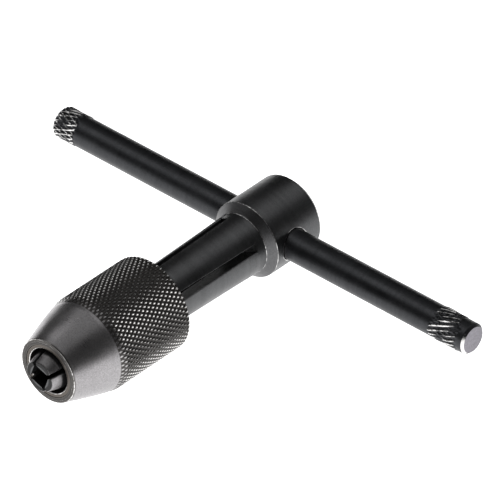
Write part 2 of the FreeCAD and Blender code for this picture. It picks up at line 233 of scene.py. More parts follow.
def profile(corners):
    """Rounds a polygon's corners: each row is (station, radius, rounding, wear); wear below 0 is
    painted shade.

    A corner with rounding c is replaced by the curve (1-t)^2 a + 2 t (1-t) p + t^2 b, where p is
    the corner and a and b lie on its two sides, c away from it, or less on a short side.  The
    wear is the corner's own value in the middle of the curve, and 0 from the flats on.  A corner
    without rounding keeps its wear."""
    corners = np.asarray(corners, float)
    rows = []
    for index, (station, radius, rounding, wear_and_painted_light) in enumerate(corners):
        here = np.array([station, radius])
        if rounding <= 0 or index in (0, len(corners) - 1):
            rows.append([[station, radius, wear_and_painted_light]])
            continue
        before, after = corners[index - 1, :2] - here, corners[index + 1, :2] - here
        cut = min(rounding, 0.45 * np.hypot(*before), 0.45 * np.hypot(*after))
        first = here + before * cut / np.hypot(*before)
        last = here + after * cut / np.hypot(*after)
        t = np.linspace(0, 1, CORNER_POINTS)[:, None]
        curve = (1 - t) ** 2 * first + 2 * t * (1 - t) * here + t ** 2 * last
        faded = wear_and_painted_light * (1 - np.abs(2 * t - 1)) ** 0.5
        outside = [np.r_[here + before * 2.2 * cut / np.hypot(*before), 0.0]]
        beyond = [np.r_[here + after * 2.2 * cut / np.hypot(*after), 0.0]]
        near = np.hypot(*before) > 3 * cut
        far = np.hypot(*after) > 3 * cut
        rows.append(np.concatenate(
            ([outside] if near else []) + [np.hstack([curve, faded])] + ([beyond] if far else [])))
    return np.concatenate([np.atleast_2d(row) for row in rows])


def grid_faces(rows, columns, closed_rows=False):
    """Quads between neighbouring points of rings, wound so that a turned outside faces out."""
    i = np.arange(rows if closed_rows else rows - 1)[:, None]
    j = np.arange(columns)[None, :]
    i_next, j_next = (i + 1) % rows, (j + 1) % columns
    corners = [i * columns + j, i_next * columns + j, i_next * columns + j_next,
               i * columns + j_next]
    return np.stack([np.broadcast_to(corner, (i.size, j.size)) for corner in corners],
                    axis=-1).reshape(-1, 4)


def turned_solid(place, rows, columns, start_pole=False, end_pole=False, closed_rows=False):
    """A profile turned once about an axis: points place(station, radius, angle) for each row."""
    angle = np.linspace(0, 2 * np.pi, columns, endpoint=False)[None, :]
    points = place(rows[:, 0:1], rows[:, 1:2], angle).reshape(-1, 3)
    wear_and_painted_light = np.repeat(rows[:, 2], columns)
    return capped(place, points, wear_and_painted_light, len(rows), columns, rows[0, 0] if start_pole else None,
                  rows[-1, 0] if end_pole else None, closed_rows)


def capped(place, points, wear_and_painted_light, rows, columns, start=None, end=None, closed_rows=False):
    """A grid of rings, closed by a fan to a point on the axis at either end where one is given."""
    faces = grid_faces(rows, columns, closed_rows).tolist()
    j = np.arange(columns)
    j_next = (j + 1) % columns
    if start is not None:
        pole = np.full(columns, len(points))
        faces += np.stack([pole, j, j_next], axis=-1).tolist()
        points = np.vstack([points, place(start, 0.0, 0.0)[None, :]])
        wear_and_painted_light = np.append(wear_and_painted_light, wear_and_painted_light[0])
    if end is not None:
        last = (rows - 1) * columns
        pole = np.full(columns, len(points))
        faces += np.stack([last + j, pole, last + j_next], axis=-1).tolist()
        points = np.vstack([points, place(end, 0.0, 0.0)[None, :]])
        wear_and_painted_light = np.append(wear_and_painted_light, wear_and_painted_light[last])
    return points, faces, wear_and_painted_light


def make_piece(name, shells, material, sharp=40.0, merge=False, ground=None):
    """One mesh object from one or more (points, faces, wear) shells.

    The wear, with its painted shade and painted highlight, and the share of ground, bare surface
    are kept at the points for the material."""
    points = np.concatenate([shell[0] for shell in shells])
    wear_and_painted_light = np.concatenate([shell[2] for shell in shells])
    starts = np.cumsum([0] + [len(shell[0]) for shell in shells[:-1]])
    faces = []
    for start, shell in zip(starts, shells):
        faces += [[corner + int(start) for corner in face] for face in shell[1]]
    mesh = bpy.data.meshes.new(name)
    mesh.from_pydata(points.tolist(), [], faces)
    for key, values in (("wear_and_painted_light", wear_and_painted_light), ("ground", ground)):
        if values is not None:
            attribute = mesh.attributes.new(key, "FLOAT", "POINT")
            attribute.data.foreach_set("value", values.astype(np.float32))
    if merge:
        shaped = bmesh.new()
        shaped.from_mesh(mesh)
        bmesh.ops.remove_doubles(shaped, verts=shaped.verts, dist=2e-7)
        shaped.to_mesh(mesh)
        shaped.free()
    mesh.validate()
    mesh.shade_smooth()
    mesh.set_sharp_from_angle(angle=np.radians(sharp))
    mesh.materials.append(material)
    piece = bpy.data.objects.new(name, mesh)
    bpy.context.scene.collection.objects.link(piece)
    return piece


def diamond_height(across, along, flat):
    """Height of a diamond knurl, from 0 in its grooves to 1 on its flats.

    Grooves lie where across + along or across - along is whole.  The height is the smaller of the
    two distances to a whole number, doubled, over the flat share, and never above 1."""
    one, other = across + along, across - along
    nearest = np.minimum(np.abs(one - np.round(one)), np.abs(other - np.round(other)))
    return np.minimum(2 * nearest / flat, 1.0)


def ridge(turns):
    """1 on a ridge's top, where turns is whole, down to 0 a third of the way to the next."""
    return np.clip(1.0 - 3.0 * np.abs(turns - np.round(turns)), 0.0, 1.0) ** 0.7


def sleeve_surface(sizes):
    """The sleeve outside and in, and its share of bare ground surface.

    Outside radius = smaller of the profile's radius and crest - depth (1 - diamond height).  The
    grooves run out over the end of the cone.  Crests are worn bright; the grooves carry painted
    shade."""
    crest, nose = sizes.outer / 2, sizes.nose / 2
    knurl_start = NOSE + sizes.cone
    rounding = sizes.rear_round
    run_out = 1.7 * MM
    shade_line = 0.06 * MM
    columns = sizes.knurl_count * KNURL_FINENESS
    angle = np.linspace(0, 2 * np.pi, columns, endpoint=False)[None, :]

    # the flat nose face: painted shade over most of it, in lines either side of a thin bright line
    # at ring
    ring = nose - 0.56 * MM
    face = profile([(NOSE, sizes.rim / 2 + 2 * GAP, 0, 0.3), (NOSE, ring - 5 * shade_line, 0, -0.45),
                    (NOSE, ring - shade_line, 0, -0.35), (NOSE, ring, 0, 0.75),
                    (NOSE, ring + shade_line, 0, -0.35), (NOSE, nose, 0.2 * MM, 1.0),
                    (NOSE + 1.2 * MM, nose + 1.2 * MM * (crest - nose) / sizes.cone, 0, 0.0)])
    cone_share = np.linspace(0, 1, 26)[1:]
    straight = face[-1, 0] + (knurl_start - face[-1, 0]) * cone_share
    cone_radius = nose + (crest - nose) * (straight - NOSE) / sizes.cone
    swelling = 4 * sizes.swell * cone_share * (1 - cone_share)
    fine = straight > knurl_start - run_out - 0.1 * MM
    step = sizes.knurl_pitch / KNURL_FINENESS
    edge = np.arange(knurl_start - run_out, knurl_start, step)
    edge_radius = nose + (crest - nose) * (edge - NOSE) / sizes.cone
    band = np.arange(knurl_start, CHUCK_REAR - rounding, step)
    turn = np.linspace(0, np.pi / 2, 7)
    rear_station = CHUCK_REAR - rounding + rounding * np.sin(turn)
    rear_radius = crest - rounding + rounding * np.cos(turn)
    stations = np.concatenate([face[:, 0], straight[~fine], edge, band, rear_station])
    radii = np.concatenate([face[:, 1], (cone_radius + swelling)[~fine], edge_radius,
                            np.full(band.size, crest), rear_radius])
    face_wear_and_painted_light = np.concatenate([face[:, 2], np.zeros(stations.size - len(face))])

    across = sizes.knurl_count * angle / (2 * np.pi)
    along = stations[:, None] / sizes.knurl_pitch
    height = diamond_height(across, along, sizes.knurl_flat)
    knurled = crest - sizes.knurl_depth * (1 - height)
    outside = np.minimum(radii[:, None], knurled)
    on_band = (stations > knurl_start - run_out)[:, None]
    # worn bright crests, painted shade in the grooves
    wear_and_painted_light = np.where(on_band, 2.0 * smoothstep((height - 0.42) * 2.1) - 0.45 * (1 - height),
                    face_wear_and_painted_light[:, None])

    bore, seat, broken = sizes.rear_bore / 2, sizes.seat / 2, 0.2 * MM
    inside = np.array([
        (CHUCK_REAR, bore + broken), (CHUCK_REAR - broken, bore), (LINER_REAR + 2 * GAP, bore),
        (LINER_REAR + 2 * GAP, seat), (NOSE + 8 * MM, seat + 2 * GAP),
        (NOSE + 1.7 * MM, sizes.rim / 2 + 2 * GAP)])
    inner = np.broadcast_to(inside[:, 1:2], (len(inside), columns))
    all_stations = np.concatenate([stations, inside[:, 0]])
    points = on_shank(all_stations[:, None], np.vstack([outside, inner]), angle).reshape(-1, 3)
    all_wear_and_painted_light = np.vstack([wear_and_painted_light, np.zeros(inner.shape)]).ravel()
    cone = (smoothstep((stations - NOSE - 0.1 * MM) / (0.3 * MM))
            * (stations < knurl_start))[:, None] * np.ones(columns)
    cone = np.where(on_band, cone * smoothstep((height - 0.3) * 1.6), cone)
    ground = np.vstack([cone, np.zeros(inner.shape)]).ravel()
    shell = points, grid_faces(len(all_stations), columns, closed_rows=True), all_wear_and_painted_light
    return shell, ground


def liner_surface(sizes):
    """The liner, turned: front rim, mouth, inner cone, threaded bore and outer cone."""
    taper = np.tan(np.radians(15.0))
    mouth, rim, seat = sizes.mouth / 2, sizes.rim / 2 - GAP, sizes.seat / 2 - GAP
    thread = sizes.thread_bore / 2
    front = NOSE + 0.05 * MM
    cone_start = NOSE + 2.94 * MM
    shoulder = NOSE + 1.74 * MM
    # painted shade (wear below 0) over the bore, the inner cone and the mouth; the front edges are
    # worn
    rows = profile([
        (LINER_REAR, thread, 0, -0.8), (cone_start + (thread - mouth) / taper, thread, 0, -0.8),
        (cone_start, mouth, 0, -0.8), (NOSE + 0.9 * MM, mouth, 0, -0.7),
        (front, mouth, 0.3 * MM, 1.1), (front, rim, 0.12 * MM, 0.15), (shoulder, rim, 0, 0.0),
        (shoulder + (seat - rim) / taper, seat, 0, 0.0), (LINER_REAR, seat, 0, 0.0)])
    return turned_solid(on_shank, rows, 160, closed_rows=True)


def jaw_section(sizes, station, outer, bore, socket):
    """A jaw's outline at each station, in (out, sideways) from the shank's axis.

    The outline runs along the outer arc, down one slot face, across the inside and up the other
    slot face.  A slot face is the line out = |sideways| + gap / sqrt 2.  The inside is the bore's
    arc, or the flat of the square socket."""
    gap = np.where(station < sizes.slit_length, sizes.slit, sizes.slot)
    offset = gap / np.sqrt(2)
    edge = np.arccos(np.clip(gap / (2 * outer), -1, 1)) - np.pi / 4
    bevel = np.minimum(sizes.break_edge / outer, 0.3 * edge)
    share = np.linspace(-1, 1, ARC_POINTS)[None, :]
    arc = (edge - bevel)[:, None] * share
    outside = np.stack([outer[:, None] * np.cos(arc), outer[:, None] * np.sin(arc)], axis=-1)

    radius = np.maximum(bore, offset)
    inner_angle = np.maximum(np.arccos(np.clip(gap / (2 * radius), -1, 1)) - np.pi / 4, 0)
    inner_share = np.linspace(1, -1, INSIDE_POINTS)[None, :]
    round_out = radius[:, None] * np.cos(inner_angle[:, None] * inner_share)
    round_side = radius[:, None] * np.sin(inner_angle[:, None] * inner_share)
    flat = np.maximum(sizes.square / 2, offset)[:, None]
    flat_side = (flat - offset[:, None]) * inner_share
    inside = np.where(socket[:, None, None], np.stack([flat + 0 * flat_side, flat_side], axis=-1),
                      np.stack([round_out, round_side], axis=-1))

    corner = np.stack([outer * np.cos(edge), outer * np.sin(edge)], axis=-1)
    down = inside[:, 0] - corner
    span = np.maximum(np.hypot(down[:, 0], down[:, 1]), 1e-9)
    start = np.minimum(bevel * outer / span, 0.4)[:, None]
    steps = start + (1 - start) * FACE_STEPS[None, :]
    side = corner[:, None, :] + down[:, None, :] * steps[..., None]
    mirrored = side[:, ::-1] * np.array([1.0, -1.0])
    return np.concatenate([outside, side, inside, mirrored], axis=1)


def jaw_surface(sizes, number):
    """One spring jaw, lofted along the shank and opened at rest, and its share of ground surface.

    Each section is turned about the flexing axis by the rest angle times smoothstep(d / flex
    length), with d from the slots' end, so the jaw is straight at its tip and meets the head."""
    taper = np.tan(sizes.taper)
    thread_start = (sizes.thread - sizes.tip) / 2 / taper
    tiny = 0.02 * MM
    station = np.array([0.0, 0.16, 1.2, 1.9, 2.3, 5.0, 7.9]) * MM
    station = np.r_[station, sizes.socket_depth - tiny, sizes.socket_depth + tiny, 9 * MM,
                    sizes.slit_length - tiny, sizes.slit_length + tiny, thread_start,
                    sizes.thread_end - tiny, sizes.thread_end + tiny,
                    np.linspace(26 * MM, sizes.bore_depth - tiny, 16),
                    np.linspace(sizes.bore_depth + tiny, SLOT_END, 14)]
    outer = np.where(station < thread_start, sizes.tip / 2 + station * taper, sizes.thread / 2)
    bare = (station - CHUCK_REAR) / (SLOT_END - CHUCK_REAR)
    shank = sizes.front / 2 + (sizes.root - sizes.front) / 2 * np.clip(bare, 0, None)
    outer = np.where(station > sizes.thread_end, shank, outer)
    face = station < 0.05 * MM
    outer = np.where(face, outer - 0.14 * MM, outer)
    bore = np.where(station < sizes.bore_depth, sizes.bore / 2, 0.0)
    outline = jaw_section(sizes, station, outer, bore, station < sizes.socket_depth)

    out, side = outline[..., 0], outline[..., 1]
    bend = np.arctan2(sizes.opening, FLEX_STATION)
    turn = bend * smoothstep((SLOT_END - station) / FLEX_LENGTH)[:, None]
    lever = FLEX_STATION - station[:, None]
    opened = FLEX_OFFSET + (out - FLEX_OFFSET) * np.cos(turn) + lever * np.sin(turn)
    along = FLEX_STATION + (out - FLEX_OFFSET) * np.sin(turn) - lever * np.cos(turn)
    middle = sizes.slot_angle + np.pi / 4 + number * np.pi / 2
    x = opened * np.cos(middle) - side * np.sin(middle)
    z = opened * np.sin(middle) + side * np.cos(middle)
    points = np.stack([x, TIPS + along, AXIS_HEIGHT + z], axis=-1)
    rows, columns = side.shape

    # bright worn edges along the slots and at the socket's mouth; painted shade on the slot faces
    # and inside
    arc_end = ARC_POINTS - 1
    inside_start = ARC_POINTS + FACE_STEPS.size
    inside_end = inside_start + INSIDE_POINTS
    wear_and_painted_light = np.zeros((rows, columns))
    wear_and_painted_light[:, [0, arc_end, ARC_POINTS, -1]] = 0.5
    wear_and_painted_light[station > SLOT_END - 0.2 * MM] *= 0.5
    wear_and_painted_light[:, ARC_POINTS + 1:inside_start - 1] = -0.5
    wear_and_painted_light[:, inside_end + 1:-1] = -0.5
    wear_and_painted_light[:, inside_start - 1:inside_end + 1] = -1.0
    # painted shade on the outside hidden in the chuck, and on the front face
    in_chuck = (station > 2.2 * MM) & (station < sizes.thread_end)
    wear_and_painted_light[in_chuck, 1:arc_end] = -1.0
    wear_and_painted_light[face] = -1.0
    wear_and_painted_light[face, inside_start:inside_end] = 0.55
    tip_cone = (station > 0.1 * MM) & (station < 2.0 * MM)
    ground = np.zeros((rows, columns))
    ground[tip_cone, :ARC_POINTS] = 1.0
    faces = grid_faces(rows, columns).tolist()
    caps = np.stack([points[0].mean(axis=0), points[-1].mean(axis=0)])
    j = np.arange(columns)
    j_next = (j + 1) % columns
    total = rows * columns
    first = np.full(columns, total)
    last = np.full(columns, total + 1)
    tail = (rows - 1) * columns
    faces += np.stack([first, j, j_next], axis=-1).tolist()
    faces += np.stack([tail + j, last, tail + j_next], axis=-1).tolist()
    # painted shade on the front cap as well
    shell = np.vstack([points.reshape(-1, 3), caps]), faces, np.r_[wear_and_painted_light.ravel(), -1.0, 0.0]
    return shell, np.r_[ground.ravel(), 0.0, 0.0]


def head_surfaces(sizes):
    """Shank root and head with the bar's hole: two turned ends, two patches and a tunnel.

    A patch covers half of the head's band.  Its grid runs from the hole's edge to the patch's
    border: (angle, station) = (1 - w) hole + w border, on a cylinder of the head's radius.  The
    coned front has a small share of ground surface."""
    radius = float(HEAD_HIGH[2] - HEAD_LOW[2]) / 2
    root = sizes.root / 2
    hole = sizes.bar_hole / 2
    front, back = sizes.head_front, HEAD_BACK
    margin = 0.35 * MM
    band_start = front + sizes.head_cone + margin
    band_end = back - sizes.head_chamfer - margin
    columns = 192
    side_points = 25
    patch_steps = 12
    tunnel_rows = 9
    start = profile([
        (SLOT_END, 0.4 * MM, 0, 0.0), (SLOT_END, root, 0, 0.0), (front, root, 0.18 * MM, 0.8),
        (front + sizes.head_cone, radius, 0.22 * MM, 0.9), (band_start, radius, 0, 0.0)])
    plug = sizes.plug_bore / 2 + GAP
    recess = back - 1.6 * MM
    finish = profile([
        (band_end, radius, 0, 0.0), (back - sizes.head_chamfer, radius, 0.25 * MM, 1.0),
        (back, radius - sizes.head_chamfer, 0.25 * MM, 0.9), (back, plug, 0.08 * MM, 0.6),
        (recess, plug, 0, 0.0), (recess, 0.3 * MM, 0, 0.0)])
    front_cone = (start[:, 0] > front - GAP) & (start[:, 0] < front + sizes.head_cone)
    cone_share = np.append(np.repeat(0.1 * front_cone, columns), 0.0)
    shells = [turned_solid(on_shank, start, columns, start_pole=True),
              turned_solid(on_shank, finish, columns, end_pole=True)]

    half_turn = np.linspace(-np.pi / 2, np.pi / 2, columns // 2 + 1)
    height = np.linspace(band_start, band_end, side_points)
    quarter = np.full(side_points - 1, np.pi / 2)
    around = np.ones(half_turn.size - 1)
    border_angle = np.concatenate([half_turn[:-1], quarter, half_turn[:0:-1], -quarter])
    border_station = np.concatenate([band_start * around, height[:-1], band_end * around,
                                     height[:0:-1]])
    heading = np.arctan2(border_station - BAR_STATION, radius * border_angle)
    edge_break = 0.14 * MM
    rim = np.array([(hole, 0.22 * MM, 0.1), (hole, edge_break, 0.7),
                    (hole + 0.35 * edge_break, 0.35 * edge_break, 1.0),
                    (hole + edge_break, 0.0, 1.0), (hole + 0.3 * MM, 0.0, 0.0)])
    rim_z = rim[:, 0:1] * np.cos(heading)[None, :]
    rim_radius = radius - rim[:, 1:2] + 0 * rim_z
    rim_angle = np.arcsin(rim_z / rim_radius)
    rim_station = BAR_STATION + rim[:, 0:1] * np.sin(heading)[None, :]
    share = np.linspace(0, 1, patch_steps + 1)[1:, None]
    patch_angle = rim_angle[-1:] * (1 - share) + border_angle[None, :] * share
    patch_station = rim_station[-1:] * (1 - share) + border_station[None, :] * share
    angle = np.vstack([rim_angle, patch_angle])
    station = np.vstack([rim_station, patch_station])
    depth = np.vstack([rim_radius, np.full(patch_angle.shape, radius)])
    wear_and_painted_light = np.repeat(np.r_[rim[:, 2], np.zeros(len(share))], heading.size)
    faces = grid_faces(len(station), heading.size)
    for half in (0.0, np.pi):
        shells.append((on_shank(station, depth, angle + half).reshape(-1, 3), faces[:, ::-1], wear_and_painted_light))

    z = hole * np.cos(heading)
    reach = np.sqrt((radius - rim[0, 1]) ** 2 - z ** 2)
    steps = np.linspace(1, -1, tunnel_rows)[:, None]
    tunnel = np.stack(np.broadcast_arrays(
        reach[None, :] * steps, TIPS + BAR_STATION + hole * np.sin(heading)[None, :],
        AXIS_HEIGHT + z[None, :]), axis=-1).reshape(-1, 3)
    # painted shade over the inside of the hole for the bar
    shells.append((tunnel, grid_faces(tunnel_rows, heading.size), np.full(len(tunnel), -0.6)))
    others = sum(len(shell[0]) for shell in shells[1:])
    return shells, np.append(cone_share, np.zeros(others))


def uneven(across, along, count):
    """A slow, even wobble between -1 and 1: the mean of three sines of place, for hand work."""
    angle = across * 2 * np.pi / count
    waves = ((3.57, 2, 0.4), (2.97, -3, 2.1), (3.1, -5, 4.0))
    return sum(np.sin(rate * along + turns * angle + start) for rate, turns, start in waves) / 3


def bar_surface(sizes):
    """The bar, turned about X, and its share of ground surface, which is its end at +X.

    In each band the radius is plain - cut + (rise + cut) height, where the height is that of two
    crossing sets of ridges, one stronger.  The bands' borders are ragged."""
    half = float(BAR_HIGH[0])
    cut = 0.16 * MM
    fade = 0.5 * MM
    left_reach = 0.3 * MM
    right_reach = 1.3 * MM
    plain, crest = sizes.diameter / 2, sizes.crest / 2
    columns = sizes.knurl_count * 10
    angle = np.linspace(0, 2 * np.pi, columns, endpoint=False)[None, :]
    chamfer = sizes.chamfer
    step = sizes.knurl_pitch / 12
    right_end = half - sizes.plain_end
    right_start = right_end - sizes.band
    left_end = -half + sizes.band + left_reach
    tip = profile([(half - sizes.plain_end + 2.0 * MM, plain, 0, 0.0),
                   (half - chamfer, plain, 0.10 * MM, 0.3), (half, plain - chamfer, 0.04 * MM, 1.0),
                   (half, 0.5 * MM, 0, 0.0)])
    back = profile([(-half, 0.5 * MM, 0, 0.6), (-half, plain - chamfer, 0.12 * MM, 0.9),
                    (-half + chamfer, plain, 0.12 * MM, 0.3), (-half + 0.7 * MM, plain, 0, 0.0)])
    left = np.arange(-half + 0.8 * MM, left_end + fade, step)
    middle = np.linspace(left[-1] + step, right_start - 0.6 * MM, 30)
    right = np.arange(middle[-1] + step, right_end + 1.8 * MM, step)
    right = right[right < tip[0, 0] - 0.1 * MM]
    stations = np.concatenate([back[:, 0], left, middle, right, tip[:, 0]])
    between = np.ones(left.size + middle.size + right.size)
    radii = np.concatenate([back[:, 1], plain * between, tip[:, 1]])
    given = np.concatenate([back[:, 2], 0 * between, tip[:, 2]])

    across = sizes.knurl_count * angle / (2 * np.pi)
    along = stations[:, None] / sizes.knurl_pitch
    wobble = uneven(across, along, sizes.knurl_count)
    crossed = stations[:, None] < 0
    strong = 0.92 + 0.3 * wobble
    weak = np.where(crossed, 0.85 - 0.3 * wobble, 0.5 - 0.6 * wobble)
    height = np.clip(np.maximum(strong * ridge(across - along), weak * ridge(across + along)), 0, 1)
    ragged = fade * wobble
    longer = right_reach * smoothstep(0.4 + np.cos(angle - sizes.lean))
    left_band = smoothstep((left_end - stations[:, None] + ragged) / fade)
    right_band = (smoothstep((stations[:, None] - right_start + ragged) / fade)
                  * smoothstep((right_end - stations[:, None] + longer - ragged) / fade))
    start_fade = smoothstep((stations[:, None] + half - 0.1 * MM) / fade)
    band = np.maximum(left_band * start_fade, right_band)
    rise = (crest - plain) * (0.75 + 0.25 * wobble)
    radius = radii[:, None] + band * ((rise + cut) * height - cut)
    # worn crests, with painted shade in the grooves
    wear_and_painted_light = np.maximum(given[:, None], band * (1.25 * smoothstep((height - 0.35) * 2.6)
                                              * (0.8 + 0.4 * wobble) - 0.4 * (1 - height)))
    # painted highlight: only one side of the end's rim, the side given by the knurl lean, is made
    # bright
    painted_highlight = np.clip(np.cos(angle - sizes.lean), 0, 1)
    rim = (stations > half - chamfer) & (stations < half - 0.01 * MM)
    wear_and_painted_light = np.where(rim[:, None], 1.15 * painted_highlight, wear_and_painted_light)
    face = (stations > half - 2 * GAP)[:, None] * np.ones(columns)
    points = on_bar(stations[:, None], np.minimum(radius, crest), angle).reshape(-1, 3)
    shell = capped(on_bar, points, wear_and_painted_light.ravel(), len(stations), columns, -half, half)
    return shell, np.r_[face.ravel(), 0.0, 1.0]


# ---------------------------------------------------------------- materials

class Finish:
    """Builds one node material and keeps its nodes tidy."""

    def __init__(self, name):
        self.material = bpy.data.materials.new(name)
        self.material.use_nodes = True
        self.tree = self.material.node_tree
        self.tree.nodes.clear()
        output = self.tree.nodes.new("ShaderNodeOutputMaterial")
        self.shader = self.tree.nodes.new("ShaderNodeBsdfPrincipled")
        self.link(self.shader.outputs["BSDF"], output.inputs["Surface"])

    def link(self, source, target):
        self.tree.links.new(source, target)

    def node(self, kind, **values):
        made = self.tree.nodes.new(kind)
        for key, value in values.items():
            setattr(made, key, value)
        return made

    def math(self, operation, first, second=None, clamp=False):
        made = self.node("ShaderNodeMath", operation=operation, use_clamp=clamp)
        for socket, value in zip(made.inputs, (first, second)):
            if value is None:
                continue
            if isinstance(value, (int, float)):
                socket.default_value = value
            else:
                self.link(value, socket)
        return made.outputs["Value"]

    def noise(self, vector, scale, detail, roughness):
        made = self.node("ShaderNodeTexNoise")
        made.inputs["Scale"].default_value = scale
        made.inputs["Detail"].default_value = detail
        made.inputs["Roughness"].default_value = roughness
        self.link(vector, made.inputs["Vector"])
        return made.outputs["Fac"]

    def spread(self, value, low, high, from_low, from_high):
        """Takes value from the span from_low..from_high to low..high, held at its ends."""
        made = self.node("ShaderNodeMapRange")
        made.inputs["From Min"].default_value = from_low
        made.inputs["From Max"].default_value = from_high
        made.inputs["To Min"].default_value = low
        made.inputs["To Max"].default_value = high
        self.link(value, made.inputs["Value"])
        return made.outputs["Result"]

    def mix(self, share, first, second):
        made = self.node("ShaderNodeMix", data_type="RGBA")
        self.link(share, made.inputs["Factor"])
        colours = [socket for socket in made.inputs if socket.type == "RGBA"]
        for socket, value in zip(colours, (first, second)):
            if isinstance(value, tuple):
                socket.default_value = (*value, 1.0)
            else:
                self.link(value, socket)
        return next(socket for socket in made.outputs if socket.type == "RGBA")

    def place(self, centre):
        """The piece's own coordinates, moved so that its axis runs through the origin."""
        coordinates = self.node("ShaderNodeTexCoord")
        mapping = self.node("ShaderNodeMapping")
        mapping.inputs["Location"].default_value = [-value for value in centre]
        self.link(coordinates.outputs["Object"], mapping.inputs["Vector"])
        return mapping.outputs["Vector"]

    def turned(self, place, along):
        """(distance from the axis, place along it, 0): rings that follow a turned surface."""
        parts = self.node("ShaderNodeSeparateXYZ")
        self.link(place, parts.inputs["Vector"])
        across = [axis for axis in "XYZ" if axis != along]
        squares = [self.math("MULTIPLY", parts.outputs[axis], parts.outputs[axis])
                   for axis in across]
        distance = self.math("SQRT", self.math("ADD", *squares))
        rings = self.node("ShaderNodeCombineXYZ")
        self.link(distance, rings.inputs["X"])
        self.link(parts.outputs[along], rings.inputs["Y"])
        return rings.outputs["Vector"]

    def bump(self, height, strength, distance, below=None):
        made = self.node("ShaderNodeBump")
        made.inputs["Strength"].default_value = strength
        made.inputs["Distance"].default_value = distance
        self.link(height, made.inputs["Height"])
        if below is not None:
            self.link(below, made.inputs["Normal"])
        return made.outputs["Normal"]


def blackened_steel(name, colour, worn_and_highlight, roughness, rings, grain, along="Y",
                    centre=(0.0, 0.0, AXIS_HEIGHT), spots=0.0, bare=None):
    """Oxide over turned steel, rubbed bright where the wear attribute and the grain say so.

    Worn share = 2.6 (wear + 1.3 noise - 1.27), held in 0..1.  Wear below 0 is painted shade, which
    isn't metallic.  Where the ground attribute is 1, the surface is bare, speckled steel instead."""
    finish = Finish(name)
    place = finish.place(centre)
    ring_place = finish.turned(place, along)
    fine_rings = finish.noise(ring_place, 5200.0, 3.0, 0.7)
    broad_rings = finish.noise(ring_place, 900.0, 2.0, 0.5)
    patches = finish.noise(place, 160.0, 4.0, 0.6)
    speckle = finish.noise(place, 3800.0, 2.0, 0.6)

    attribute = finish.node("ShaderNodeAttribute", attribute_name="wear_and_painted_light")
    ragged = finish.math("MULTIPLY", finish.noise(place, 1500.0, 3.0, 0.7), 1.3)
    rubbed = finish.math("SUBTRACT", finish.math(
        "ADD", attribute.outputs["Fac"], finish.math("SUBTRACT", ragged, 0.65)), 0.62)
    share = finish.math("MULTIPLY", rubbed, 2.6, clamp=True)
    if spots:
        marks = finish.noise(place, 700.0, 5.0, 0.75)
        share = finish.math("MAXIMUM", share, finish.spread(marks, 0.0, spots, 0.66, 0.74))

    dark = tuple(0.78 * part for part in colour)
    light = tuple(min(1.0, 1.28 * part) for part in colour)
    mottle = finish.math("ADD", finish.spread(patches, 0.0, 0.5, 0.3, 0.7),
                         finish.spread(speckle, 0.0, 0.5, 0.35, 0.65))
    oxide = finish.mix(mottle, dark, light)
    tone = finish.mix(finish.spread(broad_rings, 0.0, rings, 0.35, 0.7), oxide,
                      tuple(min(1.0, 1.7 * part) for part in colour))
    shade = finish.mix(share, tone, tuple(worn_and_highlight))
    # painted shade: wear below 0 mixes the colour towards near-black and turns the metal off
    painted_shade = finish.spread(attribute.outputs["Fac"], 0.0, 0.9, 0.0, -1.0)
    shade = finish.mix(painted_shade, shade, (0.006, 0.006, 0.006))
    shine = finish.math("SUBTRACT", 1.0, painted_shade)
    if bare is not None:
        machined = finish.mix(finish.spread(speckle, 0.0, 1.0, 0.3, 0.7),
                              tuple(0.8 * part for part in bare),
                              tuple(1.2 * part for part in bare))
        ground = finish.node("ShaderNodeAttribute", attribute_name="ground")
        shade = finish.mix(ground.outputs["Fac"], shade, machined)
    finish.link(shade, finish.shader.inputs["Base Color"])
    finish.link(shine, finish.shader.inputs["Metallic"])
    finish.shader.inputs["Specular IOR Level"].default_value = 0.15

    rough = finish.math("ADD", finish.spread(patches, roughness - 0.06, roughness + 0.07, 0.3, 0.7),
                        finish.spread(fine_rings, -0.05, 0.05, 0.3, 0.7))
    smoother = finish.math("MULTIPLY", share, -0.12)
    finish.link(finish.math("ADD", rough, smoother, clamp=True), finish.shader.inputs["Roughness"])
    turned = finish.bump(fine_rings, rings, 0.02 * MM)
    grained = finish.bump(speckle, grain, 0.02 * MM, turned)
    finish.link(grained, finish.shader.inputs["Normal"])
    return finish.material


def settings():
    """The scene's five groups of sizes, colours and studio values."""
    scene = bpy.context.scene
    return (scene.tap_wrench_chuck, scene.tap_wrench_shank, scene.tap_wrench_bar,
            scene.tap_wrench_finish, scene.tap_wrench_studio)


# ---------------------------------------------------------------- operators

class TAPWRENCH_OT_sleeve(bpy.types.Operator):
    """Make the knurled chuck sleeve with its cone"""
    bl_idname = "tapwrench.sleeve"
    bl_label = "Chuck sleeve"

    def execute(self, context):
        chuck, _, _, colours, _ = settings()
        steel = blackened_steel("blackened_knurl", colours.chuck, colours.worn_and_highlight,
                                roughness=0.34, rings=0.3, grain=0.5, bare=colours.cone)
        shell, ground = sleeve_surface(chuck)
        piece = make_piece("knurled_sleeve", [shell], steel, sharp=50.0,
                           ground=ground)
        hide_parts("chuck_sleeve")
        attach(piece, "chuck")
        return {"FINISHED"}


class TAPWRENCH_OT_liner(bpy.types.Operator):
    """Make the hard liner that shows as a ring in the nose"""
    bl_idname = "tapwrench.liner"
    bl_label = "Chuck liner"

    def execute(self, context):
        chuck, _, _, colours, _ = settings()
        steel = blackened_steel("hardened_liner", colours.liner, colours.worn_and_highlight,
                                roughness=0.38, rings=0.9, grain=0.3)
        piece = make_piece("liner_ring", [liner_surface(chuck)], steel)
        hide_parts("chuck_liner")
        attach(piece, "chuck_core")
        return {"FINISHED"}


